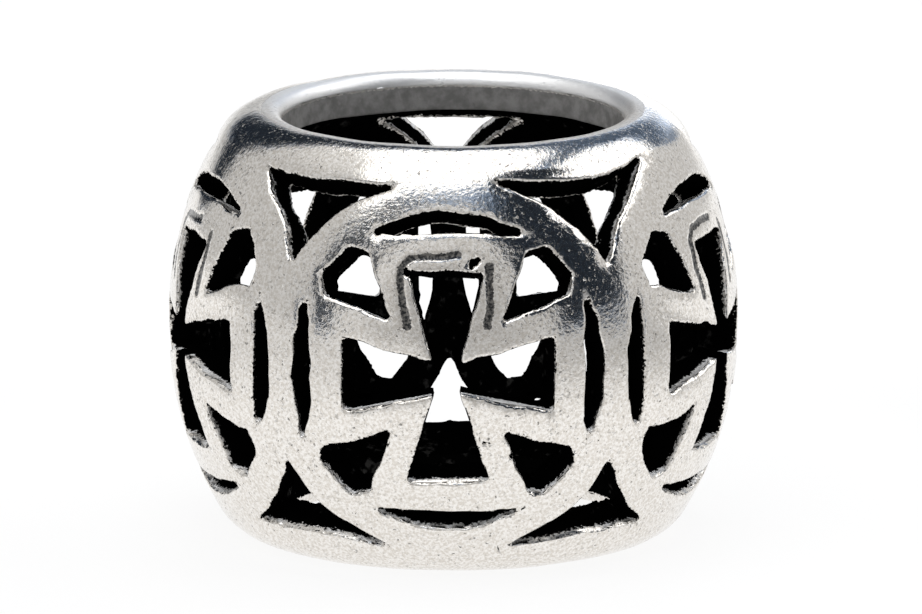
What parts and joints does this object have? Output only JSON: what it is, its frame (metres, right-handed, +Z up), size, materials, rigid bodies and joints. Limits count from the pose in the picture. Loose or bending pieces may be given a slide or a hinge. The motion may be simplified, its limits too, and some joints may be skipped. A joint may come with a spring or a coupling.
{
  "type": "dreadlock bead",
  "caption": "Barrel-shaped openwork bead that slides over a dreadlock, with ring medallions pierced by crosses between two plain rims.",
  "frame": {"origin": "centre of the bead: on the axis of the hole, half way between the two crests", "axes": "+Z up the hole's axis, with the wider plain band at the bottom; -Y out through the centre of a medallion"},
  "size_m": [0.0134, 0.0134, 0.01],
  "materials": {
    "silver": "antiqued cast silver: satin, finely pitted, black in the recesses and in the hollow"
  },
  "bodies": {
    "root": {"bead": "silver"}
  },
  "joints": []
}
